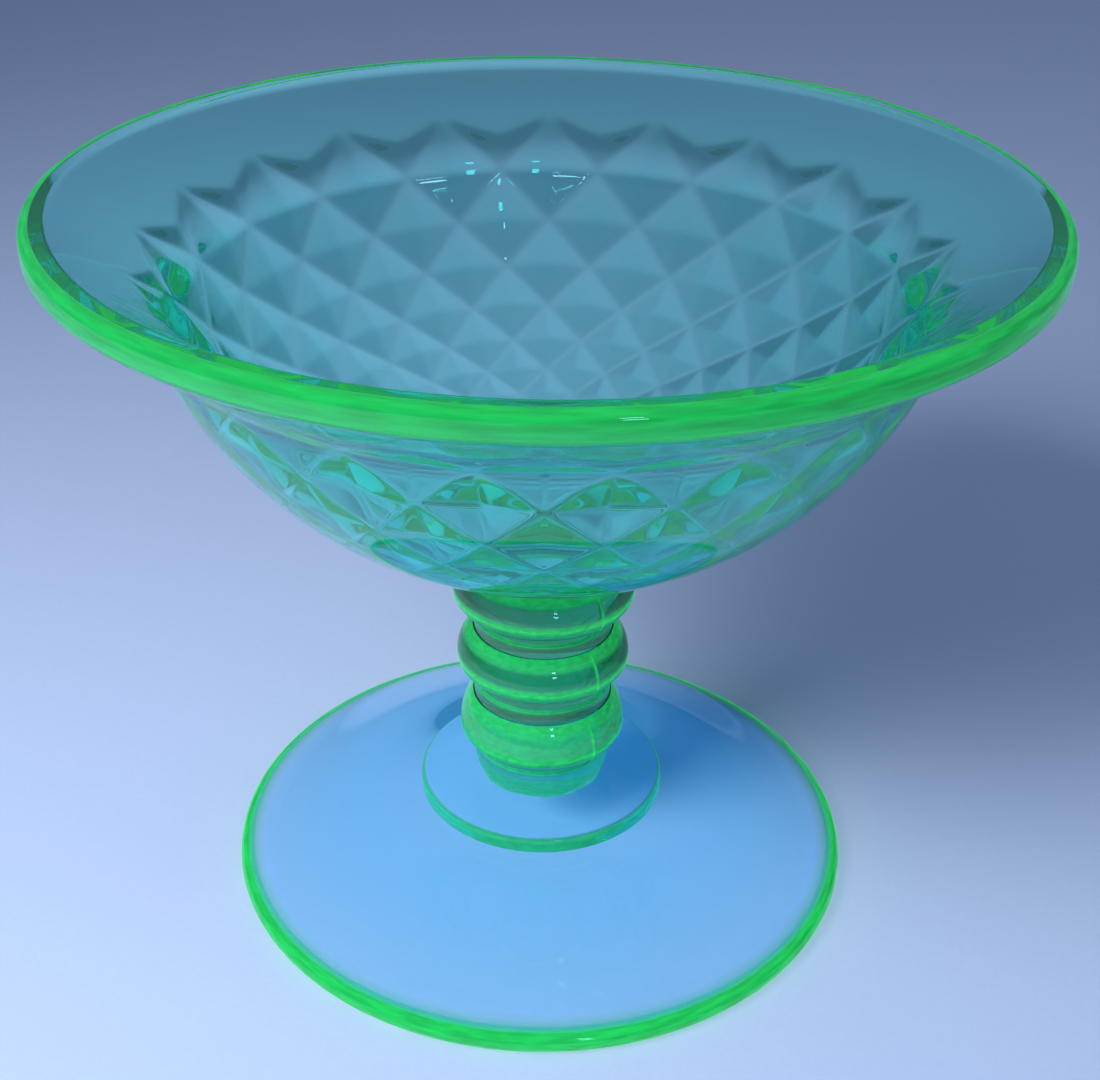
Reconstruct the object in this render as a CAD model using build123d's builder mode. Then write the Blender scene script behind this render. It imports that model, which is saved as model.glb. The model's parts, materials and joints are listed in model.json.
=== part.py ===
"""Footed glass dish: a flared bowl with a diamond interior, a stem of three knops and a domed foot.

Millimetres, +Z up.  The origin is on the axis of the dish, in the plane that the foot stands on.
Every piece is turned about Z, and each meets the next on a level fused face.
The inside of the bowl is faceted: shallow four-sided pyramids in rows that shrink to the centre.
"""

import os
from math import atan, cos, exp, pi, radians, sin, sqrt, tan

from build123d import *

# ---------------------------------------------------------------- driving dimensions
HEIGHT = 122.4                # foot plane to the top of the rim
RIM_RADIUS = 76.0             # widest radius, on the edge of the rim
FOOT_RADIUS = 54.0            # widest radius of the foot

# bowl
BOWL_SPHERE = 63.5            # outside radius of the round part of the bowl
BOWL_CENTRE_Z = 125.7         # height of that sphere's centre
WALL = 5.4                    # thickness of the flared zone
FLARE_SLOPE = radians(36)     # slope of the flared zone below the rim
FLARE_FILLET = 12.0           # outside radius where the flare leaves the sphere
LIP_RADIUS = 72.3             # inner edge of the rim's level top
LIP_ROUND = 1.5               # rounding of that edge
RIM_ROUND = 1.4               # rounding of the rim's two outer corners
BOWL_SEAT_RADIUS = 12.6       # level seat under the bowl, where the wafer joins it

# diamond pattern inside the bowl
DIAMONDS = 20                 # diamonds in one row
RINGS = 12                    # rings of corners below the top ring
TOP_RING_RADIUS = 62.6        # the pattern's uppermost corners, on the flare
TOP_RING_LIFT = 0.3           # the core's top corners stand this far clear above the flare
CORNER_SPHERE = 58.5          # radius of the sphere that carries the other corners
FIRST_RING_ANGLE = radians(71.4)   # ring 1, measured from straight down
RING_RATIO = 0.165            # how much the pattern shrinks from one ring to the next
RELIEF = 0.031                # height of a pyramid as a share of its distance from the axis
CENTRE_DISC_RADIUS = 13.9     # plain round centre
CENTRE_DISC_Z = 67.9

# stem, from the foot up
PAD_TOP_Z = 17.0
LOWER_NECK_Z = 21.2
MIDDLE_NECK_Z = 33.0
UPPER_NECK_Z = 46.4
WAFER_NECK_Z = 59.2
STEM_SEAT_RADIUS = 11.0
STEM_BASE_RADIUS = 11.6
STEM_BASE_WIDEST_Z = 19.0
NECK_RADIUS = 11.3            # narrowest part of the stem, just under each knop
COLLAR_RADIUS = 11.8          # slightly wider collar at the bottom of each neck
COLLAR_SHARE = 0.45           # height of that collar as a share of its neck
SHOULDER_RADIUS = 12.0        # top edge of each knop, under the next neck
KNOP_UNDERCUT = 2.4           # height of a knop's round underside, from its neck to its widest
LOWER_KNOP = (14.2, 26.7)     # widest radius of each knop, and its height
MIDDLE_KNOP = (14.7, 40.8)
UPPER_KNOP = (15.4, 53.8)

# foot
FOOT_EDGE = 3.8               # thickness of the foot's round edge
FOOT_RISE = 0.34              # slope of the foot's top just inside its edge
STAND_INNER_RADIUS = 47.0     # inner edge of the ring that touches the table
HOLLOW_RISE = 0.34            # slope of the hollow just inside that ring
HOLLOW_TOP_Z = 8.4            # top of the hollow under the foot
SEAT_RADIUS = 23.0            # the foot is level from here in
PAD_SEAT_Z = 13.6
PAD_RADIUS = 21.3
PAD_EDGE_TOP_Z = 16.1
PAD_ROUND = 1.0


# ---------------------------------------------------------------- helpers
def sphere_z(sphere_radius, radius):
    """Height of the lower half of a sphere about the bowl's centre, at a distance from the axis."""
    return BOWL_CENTRE_Z - sqrt(sphere_radius**2 - radius**2)


def sphere_radius_at(sphere_radius, z):
    """Distance from the axis of a sphere about the bowl's centre, at a height."""
    return sqrt(sphere_radius**2 - (BOWL_CENTRE_Z - z) ** 2)


def flare_z(radius):
    """Height of the smooth flared zone inside the bowl."""
    return HEIGHT - (LIP_RADIUS - radius) * tan(FLARE_SLOPE)


def outer_flare_z(radius):
    """Height of the outside of the flared zone, one wall below the inside."""
    return flare_z(radius) - WALL / cos(FLARE_SLOPE)


def flare_foot_radius():
    """Distance from the axis at which the outside of the flare meets the sphere of the bowl."""
    slope = tan(FLARE_SLOPE)
    drop = BOWL_CENTRE_Z - outer_flare_z(0)
    square = 1 + slope**2
    return (slope * drop + sqrt(square * BOWL_SPHERE**2 - drop**2)) / square


def round_corner(corner, radius):
    """Fillet the corner that lies at one point of the section in hand."""
    fillet(vertices().sort_by_distance((*corner, 0))[0], radius)


# ---------------------------------------------------------------- diamond pattern
def ring_corner(ring):
    """Radius and height of the deep corners of the pattern on one ring."""
    if ring == 0:
        return TOP_RING_RADIUS, flare_z(TOP_RING_RADIUS) + TOP_RING_LIFT
    half_tangent = tan(FIRST_RING_ANGLE / 2) * exp(-RING_RATIO * (ring - 1))
    radius = CORNER_SPHERE * sin(2 * atan(half_tangent))
    return radius, sphere_z(CORNER_SPHERE, radius)


def ring_tip(ring):
    """Radius and height of the pyramid tips on one ring, raised towards the bowl's centre."""
    radius, z = ring_corner(ring)
    depth = BOWL_CENTRE_Z - z
    share = 1 - RELIEF * radius / sqrt(radius**2 + depth**2)
    return radius * share, BOWL_CENTRE_Z - depth * share


def ring_points(ring):
    """All points of one ring: deep corners and raised tips in turn, half a diamond apart."""
    points = []
    for step in range(2 * DIAMONDS):
        radius, z = ring_tip(ring) if (step + ring) % 2 else ring_corner(ring)
        angle = pi * (step / DIAMONDS - 0.5)
        points.append(Vector(radius * cos(angle), radius * sin(angle), z))
    return points


def band_facets(upper, lower, ring):
    """Triangles between two rings. The long edge of each is a groove from corner to corner."""
    facets = []
    for step in range(len(upper)):
        after = (step + 1) % len(upper)
        if (step + ring) % 2:
            facets.append((upper[step], lower[step], upper[after]))
            facets.append((upper[after], lower[step], lower[after]))
        else:
            facets.append((upper[step], lower[step], lower[after]))
            facets.append((upper[step], lower[after], upper[after]))
    return facets


def fan_facets(points, centre):
    """Triangles from a closed ring of points to one point on the axis."""
    return [(point, after, centre) for point, after in zip(points, points[1:] + points[:1])]


def diamond_core():
    """Solid that fills the patterned part of the bowl. Its sides are the facets of the inside."""
    rings = [ring_points(ring) for ring in range(RINGS + 1)]
    facets = fan_facets(rings[0], Vector(0, 0, HEIGHT))
    for ring in range(RINGS):
        facets += band_facets(rings[ring], rings[ring + 1], ring)
    facets += fan_facets(rings[RINGS], Vector(0, 0, rings[RINGS][1].Z))
    return Solid(Shell([Face(Wire.make_polygon(facet)) for facet in facets]))


# ---------------------------------------------------------------- pieces
def make_bowl():
    """The bowl: round outside with a level seat below, flared rim, diamonds inside."""
    seat = (BOWL_SEAT_RADIUS, sphere_z(BOWL_SPHERE, BOWL_SEAT_RADIUS))
    flare_foot = (flare_foot_radius(), outer_flare_z(flare_foot_radius()))
    rim_under = (RIM_RADIUS, outer_flare_z(RIM_RADIUS))
    rim_top = (RIM_RADIUS, HEIGHT)
    lip = (LIP_RADIUS, HEIGHT)
    # The section stops short of the facets by a wall or so: the core then cuts them to shape.
    flare_end = (TOP_RING_RADIUS - WALL, flare_z(TOP_RING_RADIUS - WALL))
    inner_sphere = CORNER_SPHERE - WALL
    inner_start = (sphere_radius_at(inner_sphere, flare_end[1]), flare_end[1])
    inner_bottom = (0, BOWL_CENTRE_Z - inner_sphere)

    with BuildPart() as bowl:
        with BuildSketch(Plane.XZ):
            with BuildLine():
                RadiusArc(flare_foot, seat, BOWL_SPHERE)
                Polyline(seat, (0, seat[1]), inner_bottom)
                RadiusArc(inner_bottom, inner_start, -inner_sphere)
                Polyline(inner_start, flare_end, lip, rim_top, rim_under, flare_foot)
            make_face()
            round_corner(flare_foot, FLARE_FILLET)
            round_corner(rim_under, RIM_ROUND)
            round_corner(rim_top, RIM_ROUND)
            round_corner(lip, LIP_ROUND)
        revolve(axis=Axis.Z)
        add(diamond_core(), mode=Mode.SUBTRACT)
        with BuildSketch(Plane.XY.offset(CENTRE_DISC_Z)):
            Circle(CENTRE_DISC_RADIUS)
        extrude(amount=WALL, mode=Mode.SUBTRACT)
    return bowl


def make_bowl_wafer():
    """The short wafer that joins the bowl to the stem, spreading to the bowl's seat."""
    seat_z = sphere_z(BOWL_SPHERE, BOWL_SEAT_RADIUS)
    with BuildPart() as wafer:
        with BuildSketch(Plane.XZ):
            with BuildLine():
                TangentArc(
                    (COLLAR_RADIUS, WAFER_NECK_Z), (BOWL_SEAT_RADIUS, seat_z), tangent=(0, 1)
                )
                Polyline(
                    (BOWL_SEAT_RADIUS, seat_z),
                    (0, seat_z),
                    (0, WAFER_NECK_Z),
                    (COLLAR_RADIUS, WAFER_NECK_Z),
                )
            make_face()
        revolve(axis=Axis.Z)
    return wafer


def make_knop(lower_z, upper_z, widest):
    """One knop of the stem, with the neck below it: an undercut bulge with a sloping shoulder."""
    radius, z = widest
    neck_top = (NECK_RADIUS, z - KNOP_UNDERCUT)
    collar_z = lower_z + COLLAR_SHARE * (neck_top[1] - lower_z)
    # The underside is the arc that is upright at the knop's widest point and ends at the neck.
    depth = radius - NECK_RADIUS
    under = (depth**2 + KNOP_UNDERCUT**2) / (2 * depth)
    under_middle = (radius - under + under * cos(pi / 4), z - under * sin(pi / 4))
    # The shoulder is the arc that is upright there too and ends at the shoulder's edge.
    rise, fall = upper_z - z, radius - SHOULDER_RADIUS
    over = (rise**2 + fall**2) / (2 * fall)
    half_turn = atan(fall / rise)
    over_middle = (radius - over + over * cos(half_turn), z + over * sin(half_turn))
    with BuildPart() as knop:
        with BuildSketch(Plane.XZ):
            with BuildLine():
                ThreePointArc(neck_top, under_middle, (radius, z))
                ThreePointArc((radius, z), over_middle, (SHOULDER_RADIUS, upper_z))
                Polyline((SHOULDER_RADIUS, upper_z), (0, upper_z), (0, lower_z))
                Polyline(
                    (0, lower_z),
                    (COLLAR_RADIUS, lower_z),
                    (COLLAR_RADIUS, collar_z),
                    (NECK_RADIUS, collar_z),
                    neck_top,
                )
            make_face()
        revolve(axis=Axis.Z)
    return knop


def make_stem_base():
    """The short drum at the foot of the stem, stuck down on the pad."""
    top = (COLLAR_RADIUS, LOWER_NECK_Z)
    with BuildPart() as base:
        with BuildSketch(Plane.XZ):
            with BuildLine():
                ThreePointArc(
                    (STEM_SEAT_RADIUS, PAD_TOP_Z), (STEM_BASE_RADIUS, STEM_BASE_WIDEST_Z), top
                )
                Polyline(top, (0, LOWER_NECK_Z), (0, PAD_TOP_Z), (STEM_SEAT_RADIUS, PAD_TOP_Z))
            make_face()
        revolve(axis=Axis.Z)
    return base


def make_foot_pad():
    """The raised disc in the middle of the foot, with a slightly coned top."""
    edge_top = (PAD_RADIUS, PAD_EDGE_TOP_Z)
    with BuildPart() as pad:
        with BuildSketch(Plane.XZ):
            with BuildLine():
                Polyline(
                    (0, PAD_SEAT_Z),
                    (PAD_RADIUS, PAD_SEAT_Z),
                    edge_top,
                    (STEM_SEAT_RADIUS, PAD_TOP_Z),
                    (0, PAD_TOP_Z),
                    close=True,
                )
            make_face()
            round_corner(edge_top, PAD_ROUND)
        revolve(axis=Axis.Z)
    return pad


def make_foot():
    """The foot: domed on top, level where the pad sits, hollow below, on a narrow ring."""
    edge_centre_radius = FOOT_RADIUS - FOOT_EDGE / 2
    edge_bottom = (edge_centre_radius, 0)
    edge_side = (FOOT_RADIUS, FOOT_EDGE / 2)
    edge_top = (edge_centre_radius, FOOT_EDGE)
    seat = (SEAT_RADIUS, PAD_SEAT_Z)
    stand = (STAND_INNER_RADIUS, 0)
    hollow_top = (0, HOLLOW_TOP_Z)
    with BuildPart() as foot:
        with BuildSketch(Plane.XZ):
            with BuildLine():
                Line(stand, edge_bottom)
                ThreePointArc(edge_bottom, edge_side, edge_top)
                Spline(edge_top, seat, tangents=[(-1, FOOT_RISE), (-1, 0)])
                Polyline(seat, (0, PAD_SEAT_Z), hollow_top)
                Spline(hollow_top, stand, tangents=[(1, 0), (1, -HOLLOW_RISE)])
            make_face()
        revolve(axis=Axis.Z)
    return foot


# ---------------------------------------------------------------- the dish
dish = {
    "foot": make_foot(),
    "foot_pad": make_foot_pad(),
    "stem_base": make_stem_base(),
    "lower_knop": make_knop(LOWER_NECK_Z, MIDDLE_NECK_Z, LOWER_KNOP),
    "middle_knop": make_knop(MIDDLE_NECK_Z, UPPER_NECK_Z, MIDDLE_KNOP),
    "upper_knop": make_knop(UPPER_NECK_Z, WAFER_NECK_Z, UPPER_KNOP),
    "bowl_wafer": make_bowl_wafer(),
    "bowl": make_bowl(),
}

os.makedirs("parts", exist_ok=True)
for name, piece in dish.items():
    piece.part.label = name
    export_step(piece.part, f"parts/{name}.step")
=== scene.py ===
"""Looks of a footed dish in uranium glass: turned pieces of clear glass with a green glow painted
on as emission.

The pieces are built in millimetres round the Z axis and become metres in new_piece().
"""
import json
import math

import bpy
import numpy as np
from mathutils import Matrix, Vector


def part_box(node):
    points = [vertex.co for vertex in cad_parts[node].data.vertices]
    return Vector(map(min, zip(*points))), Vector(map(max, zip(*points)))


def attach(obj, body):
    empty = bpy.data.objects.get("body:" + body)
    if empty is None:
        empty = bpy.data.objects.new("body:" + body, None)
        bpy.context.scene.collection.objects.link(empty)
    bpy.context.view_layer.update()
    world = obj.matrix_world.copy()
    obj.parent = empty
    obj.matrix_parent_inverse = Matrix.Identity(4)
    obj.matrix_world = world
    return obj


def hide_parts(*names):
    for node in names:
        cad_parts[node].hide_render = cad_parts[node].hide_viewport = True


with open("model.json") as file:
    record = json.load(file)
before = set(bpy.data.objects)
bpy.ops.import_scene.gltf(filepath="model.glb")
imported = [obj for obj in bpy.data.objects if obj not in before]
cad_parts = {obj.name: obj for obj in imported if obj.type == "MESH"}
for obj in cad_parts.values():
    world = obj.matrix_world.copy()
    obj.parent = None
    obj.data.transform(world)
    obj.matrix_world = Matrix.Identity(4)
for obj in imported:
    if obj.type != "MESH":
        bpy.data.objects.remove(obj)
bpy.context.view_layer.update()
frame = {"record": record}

MM = 0.001
COLUMNS = 480                 # steps round a plain turned piece
SHARP_ANGLE = math.radians(40)
GAP = 0.01                    # mm that a fused face is drawn back, so that light meets both in turn
AXIS_HOLE = 0.5               # radius of the fan of triangles that closes a piece on the axis


# ---------------------------------------------------------------- sizes, in mm
def low(node):
    """Height of a CAD node's lowest point."""
    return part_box(node)[0][2] / MM


def high(node):
    """Height of a CAD node's highest point."""
    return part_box(node)[1][2] / MM


def reach(node):
    """Radius of the widest circle that fits a CAD node's box."""
    lowest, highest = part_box(node)
    return min(highest[0], highest[1], -lowest[1]) / MM


HEIGHT = high("bowl")
RIM_RADIUS = reach("bowl")
BOWL_SPHERE = 63.5            # outside radius of the round part of the bowl
BOWL_CENTRE_Z = 125.7
WALL = 5.4
FLARE_SLOPE = math.radians(36)
FLARE_FILLET = 12.0
LIP_RADIUS = 72.3
LIP_ROUND = 1.5
RIM_ROUND = 1.4
BOWL_SEAT_RADIUS = reach("bowl_wafer")
BOWL_SEAT_ROWS = 6

DIAMONDS = 20
RINGS = 12
TOP_RING_RADIUS = 62.6
TOP_RING_LIFT = 0.3
CORNER_SPHERE = 58.5
FIRST_RING_ANGLE = math.radians(71.4)
RING_RATIO = 0.165
RELIEF = 0.031
CENTRE_DISC_RADIUS = 13.9
CENTRE_DISC_Z = 67.9
CENTRE_DISC_ROUND = 0.4
FACET_STEPS = 14              # mesh steps from a corner of a diamond to its tip
EDGE_MELT = 2                 # smoothing passes that round the edges of the diamonds
FLARE_LAST_RADIUS = 63.2      # the plain rows of the flare end here, above the scalloped line
# The rim's glowing edge is painted glow: emission on the rim's outer edge, fading out down its
# underside.
RIM_GLOW_INNER_RADIUS = 74.6  # the glowing edge of the rim starts here, on its level top
RIM_GLOW_HEIGHTS = (118.6, 119.4)   # and fades between these heights, on its underside

STEM_SEAT_RADIUS = 11.0
STEM_BASE_RADIUS = 11.6
STEM_BASE_WIDEST_Z = 19.0
NECK_RADIUS = 11.3
COLLAR_RADIUS = 11.8
COLLAR_SHARE = 0.45
COLLAR_ROUND = 0.22
SHOULDER_RADIUS = 12.0
KNOP_UNDERCUT = 2.4
KNOP_HEIGHTS = {"lower_knop": 26.7, "middle_knop": 40.8, "upper_knop": 53.8}
SEAM_COLUMNS = 720
SEAM_ANGLE = math.radians(-51)
SEAM_HEIGHT = 0.18
SEAM_HALF_ANGLE = math.radians(0.9)
# The glows below are painted glow: emission on the seams, the wafer, bands of the knops and the
# collars.
SEAM_GLOW = 0.6
CAP_ROWS = 5                  # rows across a fused cap
WAFER_GLOW = 0.2
KNOP_WINDOW_GLOW = {"lower_knop": 0.34, "middle_knop": 0.11, "upper_knop": 0.07}
KNOP_UNDER_GLOW = ((-1.5, 0.08), (-0.9, 0.08), (-0.3, 0.3), (-0.08, 0.9), (0, 1))
KNOP_SHOULDER_SHARES = (0, 0.08, 0.22, 0.62, 0.8, 1)
COLLAR_GLOW = 0.3
COLLAR_GLOW_HEIGHT = 0.3

FOOT_EDGE = 3.8
FOOT_RISE = 0.34
STAND_INNER_RADIUS = 47.0
HOLLOW_RISE = 0.34
HOLLOW_TOP_Z = 8.4
FOOT_PULL, HOLLOW_PULL = 1.25, 1.07   # how full the curves of the foot's top and hollow are
SEAT_RADIUS = 23.0
FOOT_SEAT_ROWS = 8
PAD_EDGE_TOP_Z = 16.1
PAD_ROUND = 1.0


# ---------------------------------------------------------------- outlines
def line(start, end, count):
    """Points from start to end, without the end."""
    share = np.linspace(0, 1, count, endpoint=False)[:, None]
    return np.array(start) + share * (np.array(end) - np.array(start))


def arc(centre, radius, begin, finish, count):
    """Points on an arc between two angles in radians, both ends included."""
    angle = np.linspace(begin, finish, count)[:, None]
    return np.array(centre) + radius * np.hstack([np.cos(angle), np.sin(angle)])


def arc_through(start, middle, end, count):
    """Points on the arc through three points, both ends included."""
    (ax, ay), (bx, by), (cx, cy) = start, middle, end
    d = 2 * (ax * (by - cy) + bx * (cy - ay) + cx * (ay - by))
    a, b, c = ax**2 + ay**2, bx**2 + by**2, cx**2 + cy**2
    centre = (
        (a * (by - cy) + b * (cy - ay) + c * (ay - by)) / d,
        (a * (cx - bx) + b * (ax - cx) + c * (bx - ax)) / d,
    )
    angles = np.unwrap([math.atan2(y - centre[1], x - centre[0]) for x, y in (start, middle, end)])
    return arc(centre, math.dist(start, centre), angles[0], angles[2], count)


def rounded(before, corner, after, radius, count=10):
    """Points of the fillet at a corner, from the side of one neighbour to the other."""
    corner = np.array(corner, float)
    to_before = np.array(before, float) - corner
    to_after = np.array(after, float) - corner
    to_before /= np.linalg.norm(to_before)
    to_after /= np.linalg.norm(to_after)
    half = math.acos(float(np.clip(to_before @ to_after, -1, 1))) / 2
    inward = to_before + to_after
    centre = corner + inward / np.linalg.norm(inward) * radius / math.sin(half)
    first = corner + to_before * radius / math.tan(half) - centre
    last = corner + to_after * radius / math.tan(half) - centre
    angles = np.unwrap([math.atan2(first[1], first[0]), math.atan2(last[1], last[0])])
    return arc(centre, radius, angles[0], angles[1], count)


def arc_from_upright(start, end, count):
    """Points of the arc that is upright at its start, both ends included."""
    across, up = end[0] - start[0], end[1] - start[1]
    radius = (across**2 + up**2) / (2 * across)
    turn = 2 * math.atan(across / up)
    centre = (start[0] + radius, start[1])
    begin = math.pi if radius > 0 else 0.0
    return arc(centre, abs(radius), begin, begin - turn, count)


def hermite(start, end, leave, arrive, count, pull=1.0):
    """Points of a smooth curve with a direction at each end, both ends included."""
    start, end = np.array(start, float), np.array(end, float)
    span = np.linalg.norm(end - start) * pull
    leave = np.array(leave, float) / np.linalg.norm(leave) * span
    arrive = np.array(arrive, float) / np.linalg.norm(arrive) * span
    t = np.linspace(0, 1, count)[:, None]
    return (
        (2 * t**3 - 3 * t**2 + 1) * start
        + (t**3 - 2 * t**2 + t) * leave
        + (3 * t**2 - 2 * t**3) * end
        + (t**3 - t**2) * arrive
    )


# ---------------------------------------------------------------- meshes
def turned(outline, columns=COLUMNS):
    """Grid of points: one row for each point of the outline, turned about Z."""
    angle = 2 * math.pi * np.arange(columns) / columns - math.pi / 2
    radius, z = np.array(outline)[:, :1], np.array(outline)[:, 1:]
    return np.stack([radius * np.cos(angle), radius * np.sin(angle), z + 0 * angle], axis=-1)


def closed_faces(rows, columns, split):
    """Faces of a grid that goes all round, with a fan on the axis at each end.

    split says which diagonal cuts each cell. Without it the cells stay whole.
    """
    first, last = rows * columns, rows * columns + 1
    column = np.arange(columns)
    after = (column + 1) % columns
    faces = []
    for row in range(rows - 1):
        a, b = row * columns + column, row * columns + after
        c, d = b + columns, a + columns
        if split is None:
            faces += np.stack([a, b, c, d], 1).tolist()
        else:
            falling = split[row][:, None]
            one = np.where(falling, np.stack([a, b, c], 1), np.stack([a, b, d], 1))
            two = np.where(falling, np.stack([a, c, d], 1), np.stack([b, c, d], 1))
            faces += np.stack([one, two], 1).reshape(-1, 3).tolist()
    faces += np.stack([np.full(columns, first), after, column], 1).tolist()
    start = (rows - 1) * columns
    faces += np.stack([np.full(columns, last), start + column, start + after], 1).tolist()
    return faces


def new_piece(name, node, grid, glow, fused, split=None):
    """A closed mesh from rows of points, which takes the place of a CAD node.

    glow has one value for each row or each point: how strongly painted glow, as emission, is put
    on the glass there. fused says for each row whether the band after it is fused to a neighbour.
    """
    rows, columns = grid.shape[:2]
    ends = [grid[0].mean(axis=0), grid[-1].mean(axis=0)]
    points = np.vstack([grid.reshape(-1, 3), ends]) * MM
    mesh = bpy.data.meshes.new(name)
    mesh.from_pydata(points.tolist(), [], closed_faces(rows, columns, split))
    mesh.shade_smooth()
    mesh.set_sharp_from_angle(angle=SHARP_ANGLE)
    glow = np.broadcast_to(np.reshape(glow, (rows, -1)), (rows, columns))
    glow_values = np.concatenate([glow.ravel(), [glow[0, 0], glow[-1, 0]]])
    mesh.attributes.new("glow", "FLOAT", "POINT").data.foreach_set("value", glow_values)
    cells = columns if split is None else 2 * columns
    fused_rows = np.concatenate(
        [np.repeat(fused[:-1], cells), np.repeat([fused[0], fused[-1]], columns)]
    )
    mesh.attributes.new("fused", "FLOAT", "FACE").data.foreach_set("value", fused_rows)
    mesh.validate()
    piece = bpy.data.objects.new(name, mesh)
    bpy.context.collection.objects.link(piece)
    slot = next(s["material_slot"] for s in frame["record"]["subparts"] if s["node"] == node)
    mesh.materials.append(glass[slot])
    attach(piece, "root")
    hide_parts(node)
    return piece


# ---------------------------------------------------------------- the bowl
def flare_z(radius):
    """Height of the smooth flared zone inside the bowl."""
    return HEIGHT - (LIP_RADIUS - radius) * math.tan(FLARE_SLOPE)


def outer_flare_z(radius):
    """Height of the outside of the flared zone."""
    return flare_z(radius) - WALL / math.cos(FLARE_SLOPE)


def sphere_z(sphere_radius, radius):
    """Height of the lower half of a sphere about the bowl's centre."""
    return BOWL_CENTRE_Z - math.sqrt(sphere_radius**2 - radius**2)


def bowl_outside():
    """Outline of the bowl from the middle of its seat up to the inside of the lip."""
    slope = math.tan(FLARE_SLOPE)
    drop = BOWL_CENTRE_Z - outer_flare_z(0)
    square = 1 + slope**2
    foot_r = (slope * drop + math.sqrt(square * BOWL_SPHERE**2 - drop**2)) / square
    across = np.array([math.sin(FLARE_SLOPE), -math.cos(FLARE_SLOPE)])
    along = np.array([math.cos(FLARE_SLOPE), math.sin(FLARE_SLOPE)])
    # The fillet's centre is below the flare and outside the sphere, by its own radius.
    axis_point = np.array([foot_r, outer_flare_z(foot_r)]) + across * FLARE_FILLET
    to_centre = axis_point - np.array([0, BOWL_CENTRE_Z])
    b = to_centre @ along
    c = to_centre @ to_centre - (BOWL_SPHERE + FLARE_FILLET) ** 2
    centre = axis_point + along * (-b + math.sqrt(b * b - c))
    towards = centre - np.array([0, BOWL_CENTRE_Z])
    low_angle = math.atan2(towards[1], towards[0])
    seat_z = sphere_z(BOWL_SPHERE, BOWL_SEAT_RADIUS)
    seat_angle = math.atan2(seat_z - BOWL_CENTRE_Z, BOWL_SEAT_RADIUS)
    under = (RIM_RADIUS, outer_flare_z(RIM_RADIUS))
    top = (RIM_RADIUS, HEIGHT)
    lip = (LIP_RADIUS, HEIGHT)
    flare_top = centre - across * FLARE_FILLET
    inner = (TOP_RING_RADIUS, flare_z(TOP_RING_RADIUS))
    return np.vstack(
        [
            line((AXIS_HOLE, seat_z), (BOWL_SEAT_RADIUS, seat_z), BOWL_SEAT_ROWS),
            arc((0, BOWL_CENTRE_Z), BOWL_SPHERE, seat_angle, low_angle, 90),
            arc(centre, FLARE_FILLET, low_angle + math.pi, FLARE_SLOPE + math.pi / 2, 12)[1:],
            line(flare_top, under, 16)[1:-1],
            rounded(flare_top, under, top, RIM_ROUND),
            rounded(under, top, lip, RIM_ROUND),
            line((RIM_GLOW_INNER_RADIUS - 0.3, HEIGHT), lip, 2)[:1],
            rounded(top, lip, inner, LIP_ROUND),
        ]
    )


def rim_glow(outline):
    """How strongly painted glow is put on the rim's edge at each point of an outline."""
    radius, z = outline[:, 0], outline[:, 1]
    on_edge = radius >= RIM_GLOW_INNER_RADIUS - 0.05
    return np.where(on_edge, np.interp(z, RIM_GLOW_HEIGHTS, (0, 1)), 0)


def ring_points(ring):
    """The points of one ring of the pattern: deep corners and raised tips in turn."""
    if ring == 0:
        radius, z = TOP_RING_RADIUS, flare_z(TOP_RING_RADIUS) + TOP_RING_LIFT
    else:
        half_tangent = math.tan(FIRST_RING_ANGLE / 2) * math.exp(-RING_RATIO * (ring - 1))
        radius = CORNER_SPHERE * math.sin(2 * math.atan(half_tangent))
        z = sphere_z(CORNER_SPHERE, radius)
    step = np.arange(2 * DIAMONDS + 1)
    angle = math.pi * (step / DIAMONDS - 0.5)
    points = np.stack([radius * np.cos(angle), radius * np.sin(angle), z + 0 * angle], axis=-1)
    centre = np.array([0, 0, BOWL_CENTRE_Z])
    share = 1 - RELIEF * radius / math.hypot(radius, BOWL_CENTRE_Z - z)
    raised = centre + (points - centre) * share
    return np.where(((step + ring) % 2 == 1)[:, None], raised, points)


def facet_points(upper, lower, ring):
    """A grid over one band of facets, without its last row and last column."""
    t, s = np.mgrid[0:FACET_STEPS, 0:FACET_STEPS][:, :, :, None] / FACET_STEPS
    blocks = []
    for step in range(2 * DIAMONDS):
        u0, u1, l0, l1 = upper[step], upper[step + 1], lower[step], lower[step + 1]
        if (step + ring) % 2 == 0:
            block = np.where(
                t <= s, u0 + s * (u1 - u0) + t * (l1 - u1), u0 + t * (l0 - u0) + s * (l1 - l0)
            )
        else:
            block = np.where(
                s + t <= 1,
                u0 + s * (u1 - u0) + t * (l0 - u0),
                l1 + (1 - s) * (l0 - l1) + (1 - t) * (u1 - l1),
            )
        blocks.append(block)
    return np.concatenate(blocks, axis=1)


def diamond_grid():
    """The whole pattern as rows of points, with the way each cell is split into triangles."""
    rings = [ring_points(ring) for ring in range(RINGS + 1)]
    bands = [facet_points(rings[k], rings[k + 1], k) for k in range(RINGS)]
    share = np.arange(FACET_STEPS)[None, :, None] / FACET_STEPS
    last = rings[RINGS][:-1, None] * (1 - share) + rings[RINGS][1:, None] * share
    grid = np.concatenate(bands + [last.reshape(1, -1, 3)])
    step = np.arange(2 * DIAMONDS)
    turns = [np.repeat((step + ring) % 2 == 0, FACET_STEPS) for ring in range(RINGS)]
    return grid, np.repeat(turns, FACET_STEPS, axis=0)


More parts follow.
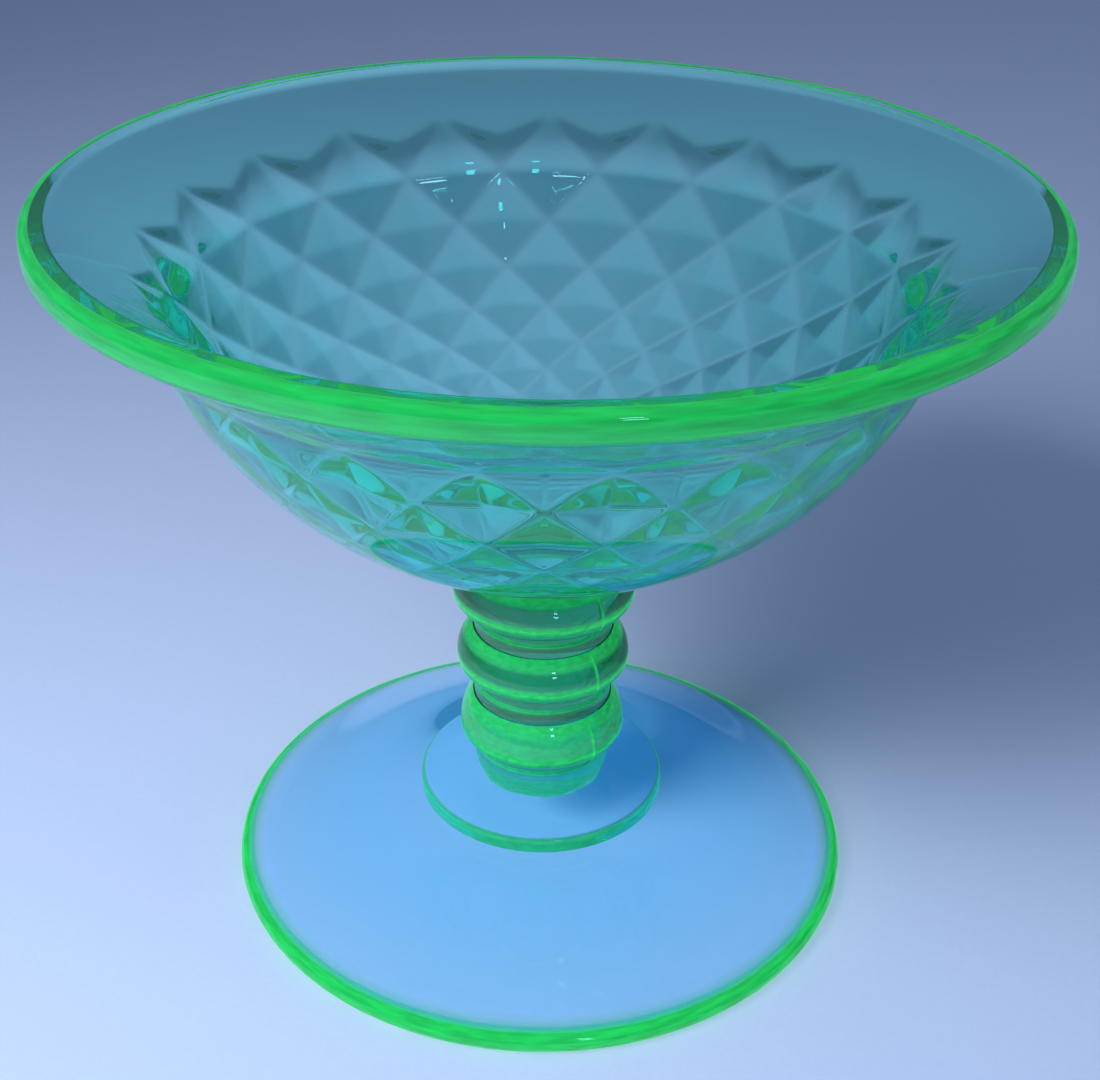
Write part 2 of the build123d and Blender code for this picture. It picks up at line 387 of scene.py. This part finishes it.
def cut_by_flare(grid, down_right):
    """Lay the rows above the scalloped line on the flare, and one row exactly on that line."""
    above = grid[:, :, 2] - flare_z(np.hypot(grid[:, :, 0], grid[:, :, 1]))
    columns = np.arange(grid.shape[1])
    first = np.argmax(above < 0, axis=0)
    share = above[first - 1, columns] / (above[first - 1, columns] - above[first, columns])
    share_below, share_above = share[:, None], (1 - share)[:, None]
    crossing = grid[first - 1, columns] * share_above + grid[first, columns] * share_below
    line_row = np.where(share < 0.5, first - 1, first)
    start = FLARE_LAST_RADIUS
    for column in columns:
        row = line_row[column]
        x, y = crossing[column, :2]
        radius = math.hypot(x, y)
        steps = start + (radius - start) * (np.arange(row) + 1) / (row + 1)
        grid[:row, column, 0] = x / radius * steps
        grid[:row, column, 1] = y / radius * steps
        grid[:row, column, 2] = flare_z(steps)
        grid[row, column] = crossing[column]
        after = line_row[(column + 1) % len(columns)]
        if after == row + 1:
            down_right[row, column] = True
        elif after == row - 1:
            down_right[after, column] = False
    return grid, down_right


def melt(grid, passes):
    """Round the edges of the facets a little, as fire polishing does."""
    for _ in range(passes):
        around = np.roll(grid, 1, axis=1) + np.roll(grid, -1, axis=1)
        inner = grid[1:-1] * 0.5 + (grid[:-2] + grid[2:] + around[1:-1]) * 0.125
        grid = np.concatenate([grid[:1], inner, grid[-1:]])
    return grid


def make_bowl():
    """The bowl: smooth outside, flared rim, and a diamond pattern pressed inside."""
    pattern, down_right = cut_by_flare(*diamond_grid())
    pattern = melt(pattern, EDGE_MELT)
    radius = np.hypot(pattern[:, :, 0], pattern[:, :, 1])
    outwards = np.maximum(radius, CENTRE_DISC_RADIUS) / radius
    pattern[:, :, :2] *= outwards[:, :, None]
    outside = bowl_outside()
    flare = line(outside[-1], (FLARE_LAST_RADIUS, flare_z(FLARE_LAST_RADIUS)), 14)[1:]
    flare = np.vstack([flare, [(FLARE_LAST_RADIUS, flare_z(FLARE_LAST_RADIUS))]])
    disc = (CENTRE_DISC_RADIUS, CENTRE_DISC_Z)
    bottom = np.vstack(
        [
            rounded((disc[0], disc[1] + 5), disc, (0, disc[1]), CENTRE_DISC_ROUND, 6),
            line((disc[0] - 1, disc[1]), (AXIS_HOLE, disc[1]), 10),
        ]
    )
    upper = np.vstack([outside, flare])
    columns = pattern.shape[1]
    grid = np.concatenate([turned(upper, columns), pattern, turned(bottom, columns)])
    split = np.ones((len(grid) - 1, columns), bool)
    split[len(upper) : len(upper) + len(down_right)] = down_right
    glow = np.concatenate([rim_glow(upper), np.zeros(len(pattern) + len(bottom))])
    fused = np.zeros(len(grid))
    fused[:BOWL_SEAT_ROWS] = 1
    return new_piece("bowl_glass", "bowl", grid, glow, fused, split)


# ---------------------------------------------------------------- stem and foot
def seam(angle):
    """1 along the two fine mould seams, which run down opposite sides of the stem, else 0."""
    off = np.abs((angle - SEAM_ANGLE + math.pi / 2) % math.pi - math.pi / 2)
    return np.exp(-((off / SEAM_HALF_ANGLE) ** 2))


def cap_to_side(radius, z):
    """Rows of a fused cap, from the middle out."""
    return line((AXIS_HOLE, z), (radius, z), CAP_ROWS)


def side_to_cap(radius, z):
    """Rows of a fused cap, from the side to the middle."""
    return line((radius, z), (AXIS_HOLE, z), CAP_ROWS)


def capped(lower_cap, side, upper_cap):
    """One outline from two fused caps and the side between them, and which rows are fused."""
    outline = np.vstack([lower_cap, side, upper_cap])
    fused = np.zeros(len(outline))
    fused[: len(lower_cap)] = 1
    fused[len(lower_cap) + len(side) - 1 :] = 1
    return outline, fused


def make_wafer():
    """The short wafer between the bowl and the stem."""
    low_z, high_z = low("bowl_wafer") + GAP, high("bowl_wafer") - GAP
    side = arc_from_upright((COLLAR_RADIUS, low_z), (BOWL_SEAT_RADIUS, high_z), 24)
    outline, fused = capped(
        cap_to_side(COLLAR_RADIUS, low_z), side, side_to_cap(BOWL_SEAT_RADIUS, high_z)[1:]
    )
    # Painted glow, even over the whole wafer.
    glow = np.full(len(outline), WAFER_GLOW)
    return new_piece("wafer_glass", "bowl_wafer", turned(outline), glow, fused)


def knop_side(node, low_z, high_z):
    """Outline of a knop: collar, neck, round underside and sloping shoulder."""
    radius, widest_z = reach(node), KNOP_HEIGHTS[node]
    neck_top = (NECK_RADIUS, widest_z - KNOP_UNDERCUT)
    collar_z = low_z + COLLAR_SHARE * (neck_top[1] - low_z)
    collar, waist = (COLLAR_RADIUS, collar_z), (NECK_RADIUS, collar_z)
    under = arc_from_upright((radius, widest_z), neck_top, 30)[::-1]
    shoulder = arc_from_upright((radius, widest_z), (SHOULDER_RADIUS, high_z), 40)
    return np.vstack(
        [
            line((COLLAR_RADIUS, low_z), (COLLAR_RADIUS, collar_z - 0.3), 6),
            rounded((COLLAR_RADIUS, low_z), collar, waist, COLLAR_ROUND, 6),
            rounded(collar, waist, neck_top, COLLAR_ROUND, 6),
            line((NECK_RADIUS, collar_z + 0.3), neck_top, 6)[:-1],
            under,
            shoulder[1:],
        ]
    )


def make_knop(node):
    """One knop of the stem with the neck below it, and the mould's two seams."""
    low_z, high_z = low(node) + GAP, high(node) - GAP
    side = knop_side(node, low_z, high_z)
    outline, fused = capped(
        cap_to_side(COLLAR_RADIUS, low_z), side, side_to_cap(SHOULDER_RADIUS, high_z)[1:]
    )
    grid = turned(outline, SEAM_COLUMNS)
    angle = np.arctan2(grid[:, :, 1], grid[:, :, 0])
    bulging = np.clip((outline[:, 0] - NECK_RADIUS - 0.6) / 1.5, 0, 1)[:, None]
    radius = np.hypot(grid[:, :, 0], grid[:, :, 1])
    ridge = seam(angle) * bulging
    grid[:, :, :2] *= (1 + SEAM_HEIGHT * ridge / radius)[:, :, None]
    # Painted glow in bands: bright at the widest ring and high on the shoulder, dim in the window
    # between, with lines at the collar and on the seams.
    below = (outline[:, 1] - KNOP_HEIGHTS[node]) / KNOP_UNDERCUT
    above = (outline[:, 1] - KNOP_HEIGHTS[node]) / (high_z - KNOP_HEIGHTS[node])
    window = KNOP_WINDOW_GLOW[node]
    shoulder_glow = (1, 0.5, window, window, 0.55, 0.6)
    glow = np.interp(below, *zip(*KNOP_UNDER_GLOW))
    glow = np.where(above > 0, np.interp(above, KNOP_SHOULDER_SHARES, shoulder_glow), glow)
    collar_z = low_z + COLLAR_SHARE * (KNOP_HEIGHTS[node] - KNOP_UNDERCUT - low_z)
    glow += COLLAR_GLOW * np.exp(-(((outline[:, 1] - collar_z) / COLLAR_GLOW_HEIGHT) ** 2))
    return new_piece(node + "_glass", node, grid, glow[:, None] + SEAM_GLOW * ridge, fused)


def seat_radius(angle):
    """Edge of the stem where it was stuck to the pad: not quite round."""
    wobble = 0.5 * np.sin(3 * angle + 0.7) + 0.3 * np.sin(7 * angle + 2.1)
    return STEM_SEAT_RADIUS - 0.18 * (1 + wobble + 0.2 * np.sin(13 * angle))


def make_stem_base():
    """The short drum at the foot of the stem."""
    low_z, high_z = low("stem_base") + GAP, high("stem_base") - GAP
    top = (COLLAR_RADIUS, high_z)
    side = arc_through((STEM_SEAT_RADIUS, low_z), (STEM_BASE_RADIUS, STEM_BASE_WIDEST_Z), top, 30)
    outline, fused = capped(
        cap_to_side(STEM_SEAT_RADIUS, low_z), side, side_to_cap(COLLAR_RADIUS, high_z)[1:]
    )
    grid = turned(outline, SEAM_COLUMNS)
    angle = np.arctan2(grid[0, :, 1], grid[0, :, 0])
    fade = np.clip((high_z - outline[:, 1]) / (high_z - low_z), 0, 1)[:, None]
    pull = (seat_radius(angle) / STEM_SEAT_RADIUS)[None, :] * fade + (1 - fade)
    grid[:, :, :2] *= pull[:, :, None]
    # Painted glow, strongest at the seat and fainter above.
    glow = np.interp(outline[:, 1], [low_z, low_z + 1, high_z], [0.5, 0.25, 0.2])
    return new_piece("stem_base_glass", "stem_base", grid, glow, fused)


def make_foot_pad():
    """The raised disc under the stem."""
    low_z, high_z = low("foot_pad") + GAP, high("foot_pad") - GAP
    radius = reach("foot_pad")
    edge = (radius, PAD_EDGE_TOP_Z)
    seat = (STEM_SEAT_RADIUS, high_z)
    outline = np.vstack(
        [
            cap_to_side(radius, low_z),
            line((radius, low_z), (radius, PAD_EDGE_TOP_Z - 1.1), 5),
            rounded((radius, low_z), edge, seat, PAD_ROUND, 10),
            line(edge, seat, 12)[2:],
            side_to_cap(*seat),
        ]
    )
    grid = turned(outline, SEAM_COLUMNS)
    angle = np.arctan2(grid[0, :, 1], grid[0, :, 0])
    grid[-CAP_ROWS:, :, :2] *= (seat_radius(angle) / STEM_SEAT_RADIUS)[None, :, None]
    fused = np.zeros(len(outline))
    fused[:CAP_ROWS] = 1
    fused[-CAP_ROWS:] = 1
    # Painted glow along the pad's outer edge.
    glow = np.interp(outline[:, 0], [STEM_SEAT_RADIUS, radius - 0.7, radius - 0.1], [0, 0, 0.4])
    glow[:CAP_ROWS] = 0
    return new_piece("foot_pad_glass", "foot_pad", grid, glow, fused)


def make_foot():
    """The foot: a low dome with a hollow below, on a narrow ring."""
    radius, seat_z = reach("foot"), high("foot") - GAP
    edge_radius = radius - FOOT_EDGE / 2
    edge_top, seat = (edge_radius, FOOT_EDGE), (SEAT_RADIUS, seat_z)
    top = hermite(edge_top, seat, (-1, FOOT_RISE), (-1, 0), 60, FOOT_PULL)
    middle, ring = (AXIS_HOLE, HOLLOW_TOP_Z), (STAND_INNER_RADIUS, 0)
    hollow = hermite(middle, ring, (1, 0), (1, -HOLLOW_RISE), 60, HOLLOW_PULL)
    pad_radius = reach("foot_pad")
    outline = np.vstack(
        [
            hollow,
            line((STAND_INNER_RADIUS, 0), (edge_radius, 0), 6)[1:],
            arc((edge_radius, FOOT_EDGE / 2), FOOT_EDGE / 2, -math.pi / 2, math.pi / 2, 24),
            top[1:],
            line((pad_radius, seat_z), (AXIS_HOLE, seat_z), FOOT_SEAT_ROWS),
        ]
    )
    fused = np.zeros(len(outline))
    fused[-FOOT_SEAT_ROWS:] = 1
    # Painted glow along the foot's outer edge.
    glow = np.interp(outline[:, 0], [radius - 4.5, radius - 2, radius - 1.1], [0, 0.12, 1])
    return new_piece("foot_glass", "foot", turned(outline), glow, fused)


# ---------------------------------------------------------------- materials
def socket(made, name):
    """An input by its name. A Mix node has one of each name for every kind of data."""
    return next(s for s in made.inputs if s.name == name and s.enabled)


def add_node(tree, kind, links=None, values=None, **settings):
    """A shader node with its settings, socket values and incoming links."""
    made = tree.nodes.new(kind)
    for key, value in settings.items():
        setattr(made, key, value)
    for key, value in (values or {}).items():
        socket(made, key).default_value = value
    for key, source in (links or {}).items():
        tree.links.new(source, socket(made, key))
    return made


def math_node(tree, operation, *terms, clamp=False):
    """One Math node. A term is a number or another node's output."""
    made = tree.nodes.new("ShaderNodeMath")
    made.operation = operation
    made.use_clamp = clamp
    for entry, term in zip(made.inputs, terms):
        if isinstance(term, (int, float)):
            entry.default_value = term
        else:
            tree.links.new(term, entry)
    return made.outputs[0]


def noise(tree, vector, scale, detail=3.0, roughness=0.5):
    """Fractal noise between 0 and 1."""
    made = add_node(
        tree,
        "ShaderNodeTexNoise",
        {"Vector": vector},
        {"Scale": scale, "Detail": detail, "Roughness": roughness},
    )
    return made.outputs[0]


def between(tree, value, low_value, high_value, to_low=0.0, to_high=1.0):
    """Map a range of a value to another range, clamped."""
    made = add_node(
        tree,
        "ShaderNodeMapRange",
        {"Value": value},
        {"From Min": low_value, "From Max": high_value, "To Min": to_low, "To Max": to_high},
    )
    return made.outputs[0]


def turned_coordinates(tree):
    """A point of the surface, its angle round Z, its distance from the axis and its height."""
    where = add_node(tree, "ShaderNodeTexCoord").outputs["Object"]
    parts = add_node(tree, "ShaderNodeSeparateXYZ", {"Vector": where}).outputs
    angle = math_node(tree, "ARCTAN2", parts[1], parts[0])
    across = math_node(tree, "POWER", parts[0], 2.0)
    along = math_node(tree, "POWER", parts[1], 2.0)
    radius = math_node(tree, "SQRT", math_node(tree, "ADD", across, along))
    return where, angle, radius, parts[2]


# Scale of the stripes in the painted glow; the scales after it are for real wear and grain.
GLOW_STRIPE_SCALE = 1300.0
SCRATCH_SCALE = 2600.0
CLOUD_SCALE = 55.0
GRAIN_SCALE = 900.0
MARK_STRETCH = 0.008          # metres for each radian: small, so marks run round the axis
GRAIN_HEIGHT = 0.002
WEAR_DEPTH = 0.004
# Brightness range of the stripes in the painted glow.
GLOW_STRIPE_STRENGTH = (0.72, 1.25)
RIM_RADII = (0.067, 0.072)    # metres: the painted glow inside the glass fades between these
RIM_BODY_GLOW = 0.1
GLASS_IOR = 1.52
CLEAR_COLOUR = (0.985, 1.0, 0.99, 1.0)
PAINTED_GLOW_FIRST_SHARE = 0.15              # cover share at which clear glass has turned to the first painted glow colour


def mixed(tree, links, values):
    """A blend of two colours."""
    made = add_node(tree, "ShaderNodeMix", links, values, data_type="RGBA")
    return made.outputs["Result"]


def surface_marks(tree, look, where, rings, exposed):
    """Roughness and normal of the glass: patches of wear, faint waves and grain."""
    cloud = noise(tree, where, CLOUD_SCALE, 3.0)
    scratch_noise = noise(tree, rings, SCRATCH_SCALE, 4.0, 0.7)
    scratches = between(tree, scratch_noise, 0.62, 0.72)
    worn = between(tree, cloud, 0.48, 0.62)
    wear = math_node(tree, "MULTIPLY", scratches, worn)
    rough = math_node(tree, "MULTIPLY_ADD", wear, look["wear"], look["roughness"])
    rough = math_node(tree, "MULTIPLY", rough, exposed)

    wave = noise(tree, where, look["wave_scale"], 1.0)
    grain = noise(tree, where, GRAIN_SCALE, 1.0)
    relief = math_node(tree, "MULTIPLY_ADD", grain, GRAIN_HEIGHT, wave)
    relief = math_node(tree, "SUBTRACT", relief, math_node(tree, "MULTIPLY", wear, WEAR_DEPTH))
    bump = add_node(
        tree,
        "ShaderNodeBump",
        {"Height": relief, "Strength": math_node(tree, "MULTIPLY", exposed, look["bump"])},
        {"Distance": look["wave_height"]},
    ).outputs[0]
    return rough, bump


def body_glow_nodes(tree, look, inside, radius):
    """Painted glow in the body of the glass, as emission: it grows with the length of glass that is
    looked through.
    """
    path = add_node(tree, "ShaderNodeLightPath").outputs["Ray Length"]
    thick = math_node(tree, "MULTIPLY", path, -look["glow_density"])
    thick = math_node(tree, "SUBTRACT", 1.0, math_node(tree, "EXPONENT", thick))
    thick = math_node(tree, "POWER", thick, look["glow_power"])
    body_glow = math_node(tree, "MULTIPLY", thick, inside)
    near_rim = between(tree, radius, *RIM_RADII, 1.0, RIM_BODY_GLOW)
    body_glow = math_node(tree, "MULTIPLY", body_glow, near_rim)
    return math_node(tree, "MULTIPLY", body_glow, look["body_glow"])


def painted_glow_cover_nodes(tree, look, glow, outer):
    """How clear the glass is and its colour: where glow is painted, faces seen from outside get a
    painted green cover and let less light through.
    """
    painted_glow_cover = math_node(tree, "MULTIPLY", glow, look["painted_glow_cover_strength"], clamp=True)
    painted_glow_cover = math_node(tree, "MULTIPLY", painted_glow_cover, outer)
    clear = math_node(tree, "SUBTRACT", 1.0, painted_glow_cover, clamp=True)
    # The glass's own clear colour turns to the painted glow colours where the cover is.
    toward_painted_glow_colour = between(tree, painted_glow_cover, 0.0, PAINTED_GLOW_FIRST_SHARE)
    clear_or_green = mixed(tree, {"Factor": toward_painted_glow_colour}, {"A": CLEAR_COLOUR, "B": look["painted_glow_first_colour"]})
    tint = mixed(tree, {"Factor": painted_glow_cover, "A": clear_or_green}, {"B": look["painted_glow_full_colour"]})
    return clear, tint


def glow_nodes(tree, look, glow, glow_stripe_noise, outer, body_glow):
    """Strength and colour of the painted glow: light that the glass gives off as emission, though
    it is no lamp.
    """
    glow_stripes = between(tree, glow_stripe_noise, 0.35, 0.65, *GLOW_STRIPE_STRENGTH)
    shown_glow = math_node(tree, "MULTIPLY", math_node(tree, "MULTIPLY", glow, glow_stripes), outer)
    emitted = math_node(tree, "MULTIPLY_ADD", shown_glow, look["edge_glow"], body_glow)
    green = math_node(tree, "MULTIPLY", glow, 4.0, clamp=True)
    green = math_node(tree, "MULTIPLY", green, outer)
    green = math_node(tree, "MAXIMUM", green, between(tree, body_glow, *look["thin_to_thick"]))
    colours = {"A": look["thin_glow_colour"], "B": look["glow_colour"]}
    return emitted, mixed(tree, {"Factor": green}, colours)


def uranium_glass(name, look):
    """Clear green glass with a painted glow along its edges and through its body, with fine wear on
    its surface.

    A face that is fused to a neighbour neither bends nor mirrors light.
    """
    material = bpy.data.materials.new(name)
    material.use_nodes = True
    material.cycles.emission_sampling = "NONE"
    tree = material.node_tree
    tree.nodes.clear()
    where, angle, radius, z = turned_coordinates(tree)
    turn = math_node(tree, "MULTIPLY", angle, MARK_STRETCH)
    across = {"X": turn, "Y": radius, "Z": z}
    rings = add_node(tree, "ShaderNodeCombineXYZ", across).outputs[0]
    # Stripes in the painted glow.
    glow_stripe_noise = noise(tree, rings, GLOW_STRIPE_SCALE, 2.0)
    glow = add_node(tree, "ShaderNodeAttribute", attribute_name="glow").outputs["Fac"]
    fused = add_node(tree, "ShaderNodeAttribute", attribute_name="fused").outputs["Fac"]
    exposed = math_node(tree, "SUBTRACT", 1.0, fused, clamp=True)
    inside = add_node(tree, "ShaderNodeNewGeometry").outputs["Backfacing"]
    outer = math_node(tree, "SUBTRACT", exposed, inside, clamp=True)

    rough, bump = surface_marks(tree, look, where, rings, exposed)
    body_glow = body_glow_nodes(tree, look, inside, radius)
    emitted, glow_tint = glow_nodes(tree, look, glow, glow_stripe_noise, outer, body_glow)
    clear, tint = painted_glow_cover_nodes(tree, look, glow, outer)
    surface = add_node(
        tree,
        "ShaderNodeBsdfPrincipled",
        {
            # Base Color and Transmission carry the painted green cover, Emission the painted glow.
            "Base Color": tint,
            "Roughness": rough,
            "Normal": bump,
            "IOR": between(tree, exposed, 0.0, 1.0, 1.0, GLASS_IOR),
            "Transmission Weight": clear,
            "Emission Color": glow_tint,
            "Emission Strength": emitted,
        },
    )
    depth = add_node(
        tree,
        "ShaderNodeVolumeAbsorption",
        None,
        {"Color": look["body_colour"], "Density": look["body_density"]},
    )
    output = add_node(tree, "ShaderNodeOutputMaterial", {"Surface": surface.outputs[0]})
    tree.links.new(depth.outputs[0], output.inputs["Volume"])
    return material


# Apart from roughness, wear, waves, bump and the body's colour and density, these entries set the
# painted glow and its painted green cover.
BASE_LOOK = {
    "roughness": 0.004,
    "wear": 0.12,
    "wave_scale": 70.0,
    "wave_height": 0.0006,
    "bump": 0.08,
    "glow_density": 12.0,
    "glow_power": 1.8,
    "thin_to_thick": (0.0, 0.16),
    "body_glow": 2.3,
    "edge_glow": 0.27,
    "painted_glow_cover_strength": 1.2,
    "painted_glow_full_colour": (0.005, 0.19, 0.04, 1.0),
    "painted_glow_first_colour": (0.06, 0.66, 0.26, 1.0),
    "glow_colour": (0.01, 1.0, 0.14, 1.0),
    "thin_glow_colour": (0.0, 0.75, 0.65, 1.0),
    "body_colour": (0.03, 0.925, 0.86, 1.0),
    "body_density": 155.0,
}
STEM_LOOK = {
    "glow_power": 1.2,
    "body_glow": 0.16,
    "edge_glow": 0.46,
    "painted_glow_cover_strength": 1.4,
    "glow_colour": (0.01, 1.0, 0.18, 1.0),
    "body_colour": (0.0, 0.80, 0.66, 1.0),
    "body_density": 130.0,
}
# The foot's body glow is painted light: it makes the foot bright as light shining through it would.
FOOT_LOOK = {
    "glow_density": 60.0,
    "glow_power": 1.0,
    "thin_to_thick": (0.22, 0.36),
    "body_glow": 0.36,
    "edge_glow": 0.36,
    "body_colour": (0.02, 0.85, 0.93, 1.0),
    "body_density": 75.0,
    "thin_glow_colour": (0.0, 0.36, 1.0, 1.0),
}


# ---------------------------------------------------------------- stage, light and camera
CASTERS = (
    "floor",
    "bowl_glass",
    "wafer_glass",
    "upper_knop_glass",
    "middle_knop_glass",
    "lower_knop_glass",
    "stem_base_glass",
)
FLOOR_DARK = (0.41, 0.51, 0.76, 1.0)
FLOOR_LIGHT = (0.45, 0.55, 0.80, 1.0)
FLOOR_HALF = 12.0             # metres
FLOOR_DROP = 0.0002           # metres of air under the foot
HORIZON_COLOUR = (0.07, 0.10, 0.17, 1.0)
SKY_COLOUR = (0.24, 0.29, 0.36, 1.0)
WHITE = (1.0, 1.0, 1.0)
FILL_COLOUR = (0.93, 0.97, 1.0)
SPARKLE_COLOUR = (0.35, 0.85, 1.0)


def make_floor():
    """A plain pale floor."""
    material = bpy.data.materials.new("floor_paint")
    material.use_nodes = True
    tree = material.node_tree
    shader = tree.nodes["Principled BSDF"]
    where = add_node(tree, "ShaderNodeTexCoord").outputs["Object"]
    fine = noise(tree, where, 900.0, 3.0)
    colour = mixed(tree, {"Factor": fine}, {"A": FLOOR_DARK, "B": FLOOR_LIGHT})
    tree.links.new(colour, shader.inputs["Base Color"])
    shader.inputs["Roughness"].default_value = 0.75
    mesh = bpy.data.meshes.new("floor")
    half, z = FLOOR_HALF, -FLOOR_DROP
    corners = [(-half, -half, z), (half, -half, z), (half, half, z), (-half, half, z)]
    mesh.from_pydata(corners, [], [(0, 1, 2, 3)])
    mesh.materials.append(material)
    floor = bpy.data.objects.new("floor", mesh)
    bpy.context.collection.objects.link(floor)


def softbox(name, place, size, power, colour, target, spread, mirrored=True, blockers=None):
    """A soft lamp that looks at a point, with its light kept within an angle in degrees.

    A lamp that isn't mirrored lights the floor and the glass but isn't seen in the glass.
    Where blockers are given, only they cast its shadow.
    """
    lamp = bpy.data.lights.new(name, "AREA")
    lamp.shape = "RECTANGLE"
    lamp.size, lamp.size_y = size
    lamp.energy = power
    lamp.color = colour
    lamp.spread = math.radians(spread)
    holder = bpy.data.objects.new(name, lamp)
    holder.location = place
    holder.visible_glossy = mirrored
    holder.visible_transmission = mirrored
    if blockers:
        holder.light_linking.blocker_collection = blockers
    aim = Vector(target) - holder.location
    holder.rotation_euler = aim.to_track_quat("-Z", "Y").to_euler()
    bpy.context.collection.objects.link(holder)


def make_lights():
    """A key light that the foot lets through, a fill, two small lamps and a dim surrounding."""
    solid_looking = bpy.data.collections.new("shadow_casters")
    for name in CASTERS:
        solid_looking.objects.link(bpy.data.objects[name])
    place, target = (-0.42, -0.42, 0.52), (-0.12, -0.14, 0)
    softbox("key_light", place, (0.34, 0.34), 1.5, WHITE, target, 80, False, solid_looking)
    softbox("contact_light", place, (0.34, 0.34), 0.4, WHITE, target, 80, False)
    softbox("fill_light", (0.9, 0.1, 0.5), (0.6, 0.6), 0.7, FILL_COLOUR, (0, 0, 0.06), 180, False)
    for name, z in (("upper_sparkle", 0.27), ("lower_sparkle", 0.17)):
        softbox(name, (0.1, -0.36, z), (0.03, 0.03), 0.045, SPARKLE_COLOUR, (0, 0, 0.06), 180)
    world = bpy.data.worlds.new("studio")
    world.use_nodes = True
    background = world.node_tree.nodes["Background"]
    tree = world.node_tree
    where = add_node(tree, "ShaderNodeTexCoord").outputs["Generated"]
    up = add_node(tree, "ShaderNodeSeparateXYZ", {"Vector": where}).outputs[2]
    height = between(tree, up, 0.05, 0.9)
    colour = mixed(tree, {"Factor": height}, {"A": HORIZON_COLOUR, "B": SKY_COLOUR})
    tree.links.new(colour, background.inputs["Color"])
    background.inputs["Strength"].default_value = 1.0
    bpy.context.scene.world = world


def make_camera():
    """The camera stands in front of the dish and looks down on it."""
    lens = bpy.data.cameras.new("camera")
    lens.lens = 56.22
    lens.sensor_width = 36.0
    lens.clip_start = 0.01
    camera = bpy.data.objects.new("camera", lens)
    pitch, yaw, roll = math.radians(30.18), 0.0039, 0.0154
    turn = Matrix.Rotation(-yaw, 3, "Z") @ Matrix.Rotation(math.pi / 2 - pitch, 3, "X")
    turn = turn @ Matrix.Rotation(roll, 3, "Z")
    camera.matrix_world = Matrix.Translation((0, -0.2454, 0.2049)) @ turn.to_4x4()
    bpy.context.collection.objects.link(camera)
    bpy.context.scene.camera = camera


def set_scene():
    """Enough bounces for light to pass through many walls of glass."""
    scene = bpy.context.scene
    scene.cycles.max_bounces = 20
    scene.cycles.transmission_bounces = 20
    scene.cycles.glossy_bounces = 12
    scene.cycles.sample_clamp_indirect = 20.0
    scene.cycles.blur_glossy = 0.5
    scene.view_settings.view_transform = "Standard"


glass = {
    "bowl_glass": uranium_glass("bowl_glass", BASE_LOOK),
    "stem_glass": uranium_glass("stem_glass", BASE_LOOK | STEM_LOOK),
    "foot_glass": uranium_glass("foot_glass", BASE_LOOK | FOOT_LOOK),
}
make_bowl()
make_wafer()
for knop in ("upper_knop", "middle_knop", "lower_knop"):
    make_knop(knop)
make_stem_base()
make_foot_pad()
make_foot()
make_floor()
make_lights()
make_camera()
set_scene()
